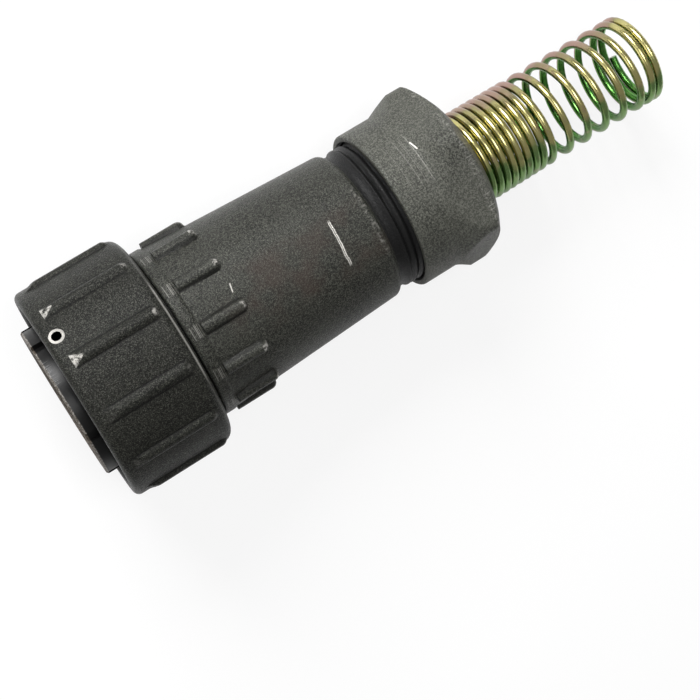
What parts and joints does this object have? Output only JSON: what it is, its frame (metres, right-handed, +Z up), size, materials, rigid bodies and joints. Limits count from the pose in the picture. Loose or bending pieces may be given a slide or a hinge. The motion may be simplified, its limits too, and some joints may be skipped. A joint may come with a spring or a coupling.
{
  "type": "bayonet circular cable connector plug",
  "caption": "Round bayonet cable plug with pins in an insulator, a free-turning coupling ring, backshell, cable gland nut and a bend-relief spring.",
  "frame": {"origin": "centre of the mating face, on the plug's axis", "axes": "+X along the axis from the mating face to the cable end, +Z up as the plug lies on a rib of its coupling ring and a flat of its gland nut, Y across"},
  "size_m": [0.1184, 0.04, 0.04],
  "materials": {
    "shell_black": "black hard-anodised, fine turned lines",
    "powder_coat": "charcoal powder coat with a fine sparkling grain",
    "stud_steel": "bright stainless steel, worn",
    "spring_steel": "bright spring steel",
    "thrust_bronze": "plain bronze",
    "rubber_black": "matt moulded rubber",
    "insulator_blue": "dark blue thermoset, satin, faint striations",
    "contact_gold": "hard gold plating over copper alloy",
    "zinc_yellow": "yellow-green passivated zinc plate with pink tints",
    "clamp_metal": "plain machined aluminium"
  },
  "bodies": {
    "shell_assembly": {"front_shell": "shell_black", "wave_washer": "spring_steel", "snap_ring": "spring_steel", "face_seal": "rubber_black", "front_insulator": "insulator_blue", "rear_insulator": "insulator_blue", "pin_contact_1": "contact_gold", "pin_contact_2": "contact_gold", "pin_contact_3": "contact_gold", "pin_contact_4": "contact_gold", "pin_contact_5": "contact_gold", "pin_contact_6": "contact_gold", "insert_ring": "clamp_metal", "backshell": "powder_coat", "backshell_o_ring": "rubber_black", "slip_washer": "clamp_metal", "cable_seal": "rubber_black"},
    "ring_carrier": {"thrust_washer": "thrust_bronze"},
    "coupling_ring": {"coupling_ring": "powder_coat", "bayonet_stud_1": "stud_steel", "bayonet_stud_2": "stud_steel", "bayonet_stud_3": "stud_steel"},
    "gland_carrier": {"clamp_ferrule": "clamp_metal", "bend_spring": "zinc_yellow"},
    "gland_nut": {"gland_nut": "powder_coat"}
  },
  "joints": [
    {"name": "ring_play", "type": "slide", "parent": "shell_assembly", "child": "ring_carrier", "axis": [-1, 0, 0], "range_m": [0, 0.0009], "stiffness_N_per_m": 8000, "springref_m": -0.0005, "deforming": ["wave_washer"]},
    {"name": "ring_turn", "type": "hinge", "parent": "ring_carrier", "child": "coupling_ring", "pos_m": [0.01875, 0, 0], "axis": [1, 0, 0], "continuous": true},
    {"name": "gland_travel", "type": "slide", "parent": "shell_assembly", "child": "gland_carrier", "axis": [1, 0, 0], "range_m": [-0.003, 0.0015], "deforming": ["cable_seal"]},
    {"name": "gland_nut_turn", "type": "hinge", "parent": "gland_carrier", "child": "gland_nut", "pos_m": [0.07, 0, 0], "axis": [1, 0, 0], "range_deg": [-720, 360]}
  ],
  "couplings": [
    {"joint": "gland_nut_turn", "follows": "gland_travel", "rad_per_m": 4188.8}
  ]
}
